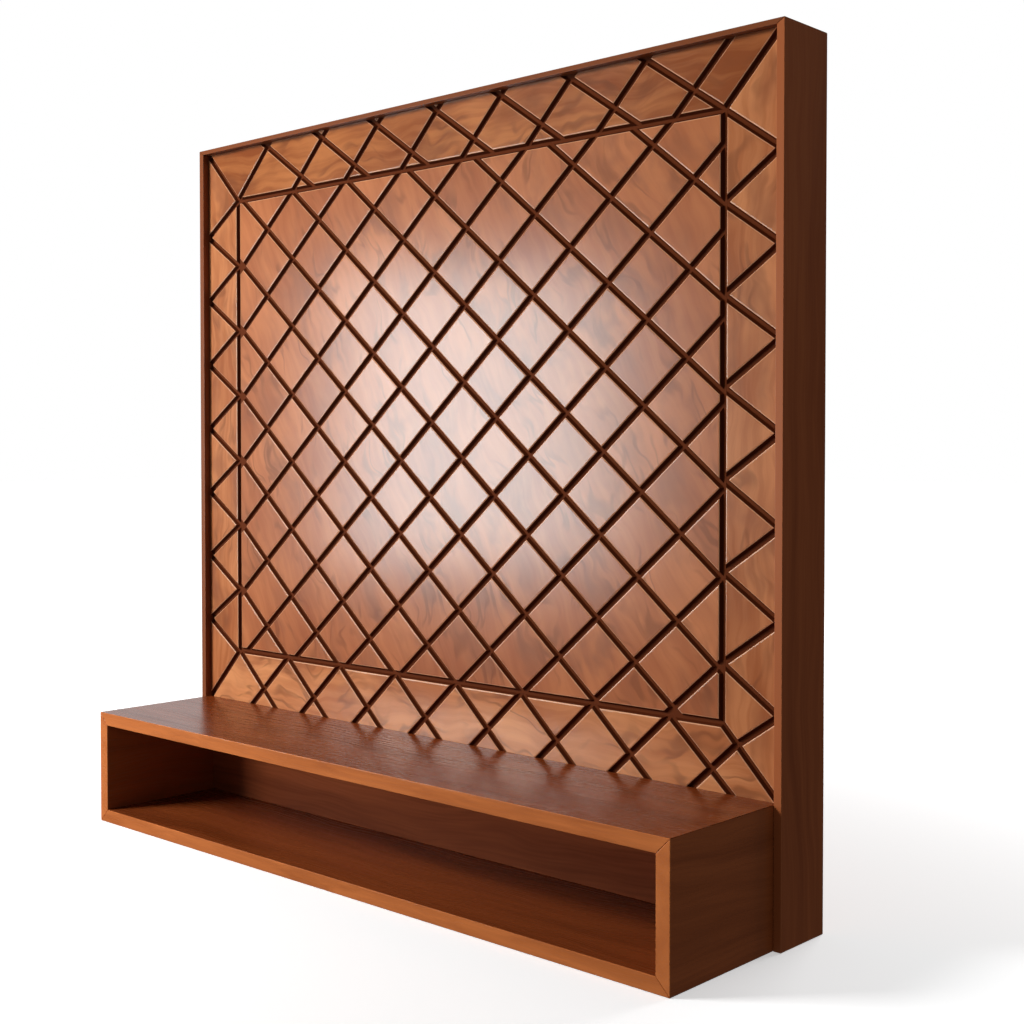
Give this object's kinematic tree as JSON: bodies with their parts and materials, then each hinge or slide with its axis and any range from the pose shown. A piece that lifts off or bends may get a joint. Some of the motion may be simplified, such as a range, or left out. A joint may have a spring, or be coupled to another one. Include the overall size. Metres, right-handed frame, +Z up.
{
  "type": "lattice wall panel with shelf",
  "caption": "Framed wood wall panel with a diagonal lattice of routed grooves, a grooved border and an open box shelf along its foot.",
  "frame": {"origin": "on the floor under the middle of the whole piece, shelf included", "axes": "+X to the right seen from the front, +Y from the shelf towards the wall, +Z up"},
  "size_m": [1.5, 0.389, 1.43],
  "materials": {
    "frame_wood": "satin lacquer, grain along each board",
    "field_wood": "half-gloss lacquer over wavy figured veneer",
    "border_wood": "half-gloss lacquer, grain along each board",
    "shelf_wood": "half-gloss lacquer, grain along each board"
  },
  "bodies": {
    "root": {"frame_left_stile": "frame_wood", "frame_right_stile": "frame_wood", "frame_top_rail": "frame_wood", "frame_bottom_rail": "frame_wood", "lattice_field": "field_wood", "border_left": "border_wood", "border_right": "border_wood", "border_top": "border_wood", "border_bottom": "border_wood", "shelf_top": "shelf_wood", "shelf_bottom": "shelf_wood", "shelf_left_end": "shelf_wood", "shelf_right_end": "shelf_wood", "shelf_back": "shelf_wood"}
  },
  "joints": []
}
